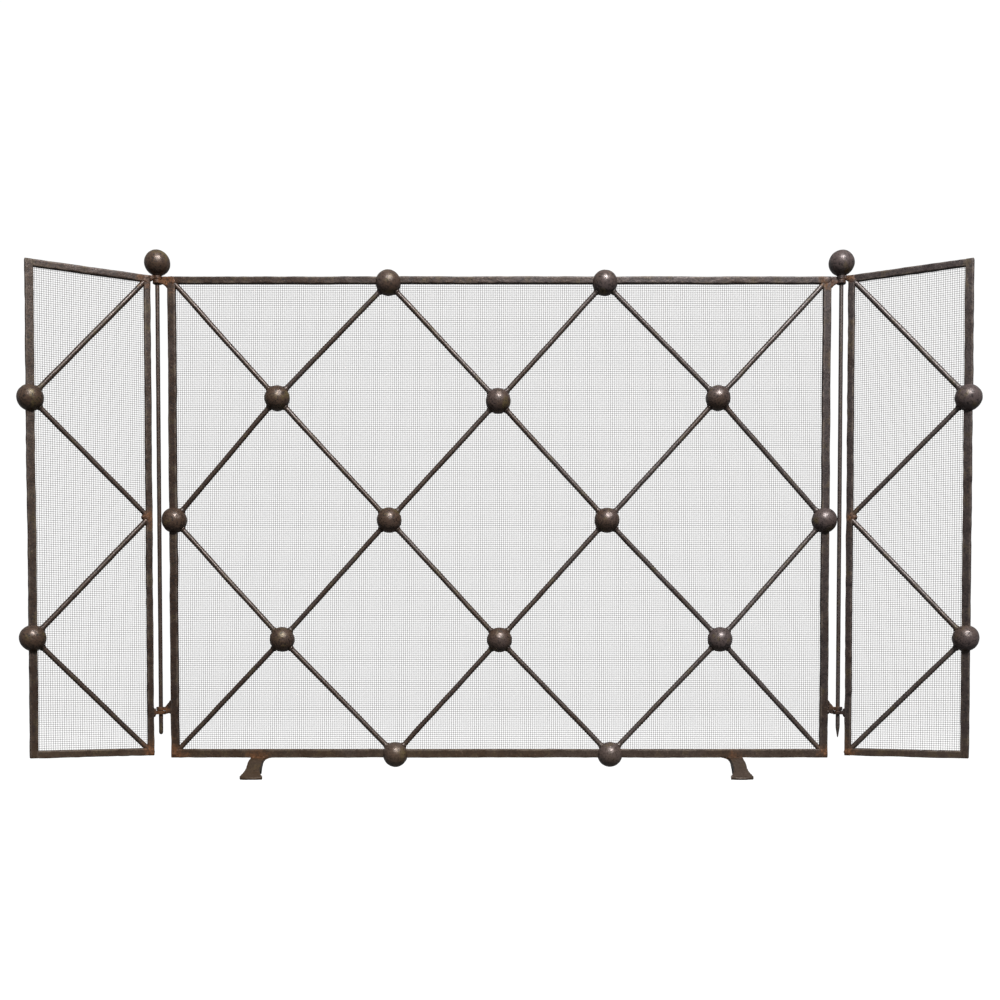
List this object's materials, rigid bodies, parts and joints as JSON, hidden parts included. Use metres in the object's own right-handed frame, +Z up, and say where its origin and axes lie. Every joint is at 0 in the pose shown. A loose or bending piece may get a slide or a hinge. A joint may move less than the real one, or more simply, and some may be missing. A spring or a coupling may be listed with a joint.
{
  "type": "fireplace screen",
  "caption": "Free-standing three-panel hearth screen of forged iron with woven mesh, diamond rods, ball ornaments, swinging wings and lift-out hinge pins.",
  "frame": {"origin": "on the floor, below the centre of the screen's box", "axes": "+X to the right seen from the room, -Y towards the room, +Z up"},
  "size_m": [1.394, 0.164, 0.7932],
  "materials": {
    "bar_iron": "hand-forged dark brown iron, waxed, with rust at the welds",
    "rod_iron": "round forged rod, dark brown patina",
    "ball_iron": "solid ball, dark brown, rubbed satin",
    "strip_iron": "thin flat strip, dull dark brown",
    "woven_wire": "fine plain-woven wire, dull grey-brown",
    "screw_steel": "blackened steel"
  },
  "bodies": {
    "centre_panel": {"centre_bottom_balls": "ball_iron", "centre_bottom_rail": "bar_iron", "centre_falling_rods_1": "rod_iron", "centre_falling_rods_2": "rod_iron", "centre_falling_rods_3": "rod_iron", "centre_falling_rods_4": "rod_iron", "centre_left_bottom_eye": "bar_iron", "centre_left_stile": "bar_iron", "centre_left_top_eye": "bar_iron", "centre_level_strips": "strip_iron", "centre_lower_balls": "ball_iron", "centre_mesh": "woven_wire", "centre_middle_balls": "ball_iron", "centre_right_bottom_eye": "bar_iron", "centre_right_stile": "bar_iron", "centre_right_top_eye": "bar_iron", "centre_rising_rods_1": "rod_iron", "centre_rising_rods_2": "rod_iron", "centre_rising_rods_3": "rod_iron", "centre_rising_rods_4": "rod_iron", "centre_side_strips": "strip_iron", "centre_strip_screws": "screw_steel", "centre_top_balls": "ball_iron", "centre_top_rail": "bar_iron", "centre_upper_balls": "ball_iron", "left_foot": "bar_iron", "right_foot": "bar_iron"},
    "left_wing": {"left_wing_balls": "ball_iron", "left_wing_bottom_eye": "bar_iron", "left_wing_bottom_rail": "bar_iron", "left_wing_hinge_stile": "bar_iron", "left_wing_level_strips": "strip_iron", "left_wing_lower_rods": "rod_iron", "left_wing_mesh": "woven_wire", "left_wing_outer_stile": "bar_iron", "left_wing_side_strips": "strip_iron", "left_wing_strip_screws": "screw_steel", "left_wing_top_eye": "bar_iron", "left_wing_top_rail": "bar_iron", "left_wing_upper_rods": "rod_iron"},
    "right_wing": {"right_wing_balls": "ball_iron", "right_wing_bottom_eye": "bar_iron", "right_wing_bottom_rail": "bar_iron", "right_wing_hinge_stile": "bar_iron", "right_wing_level_strips": "strip_iron", "right_wing_lower_rods": "rod_iron", "right_wing_mesh": "woven_wire", "right_wing_outer_stile": "bar_iron", "right_wing_side_strips": "strip_iron", "right_wing_strip_screws": "screw_steel", "right_wing_top_eye": "bar_iron", "right_wing_top_rail": "bar_iron", "right_wing_upper_rods": "rod_iron"},
    "left_pin": {"left_pin_finial": "ball_iron", "left_pin_rod": "rod_iron"},
    "right_pin": {"right_pin_finial": "ball_iron", "right_pin_rod": "rod_iron"}
  },
  "joints": [
    {"name": "left_wing_swing", "type": "hinge", "parent": "centre_panel", "child": "left_wing", "pos_m": [-0.5148, 0.01802, 0.4], "axis": [0, 0, 1], "range_deg": [-116.4, 63.6]},
    {"name": "right_wing_swing", "type": "hinge", "parent": "centre_panel", "child": "right_wing", "pos_m": [0.5148, 0.01802, 0.4], "axis": [0, 0, -1], "range_deg": [-116.4, 63.6]},
    {"name": "left_pin_lift", "type": "slide", "parent": "centre_panel", "child": "left_pin", "axis": [0, 0, 1], "range_m": [0, 0.7]},
    {"name": "right_pin_lift", "type": "slide", "parent": "centre_panel", "child": "right_pin", "axis": [0, 0, 1], "range_m": [0, 0.7]}
  ]
}
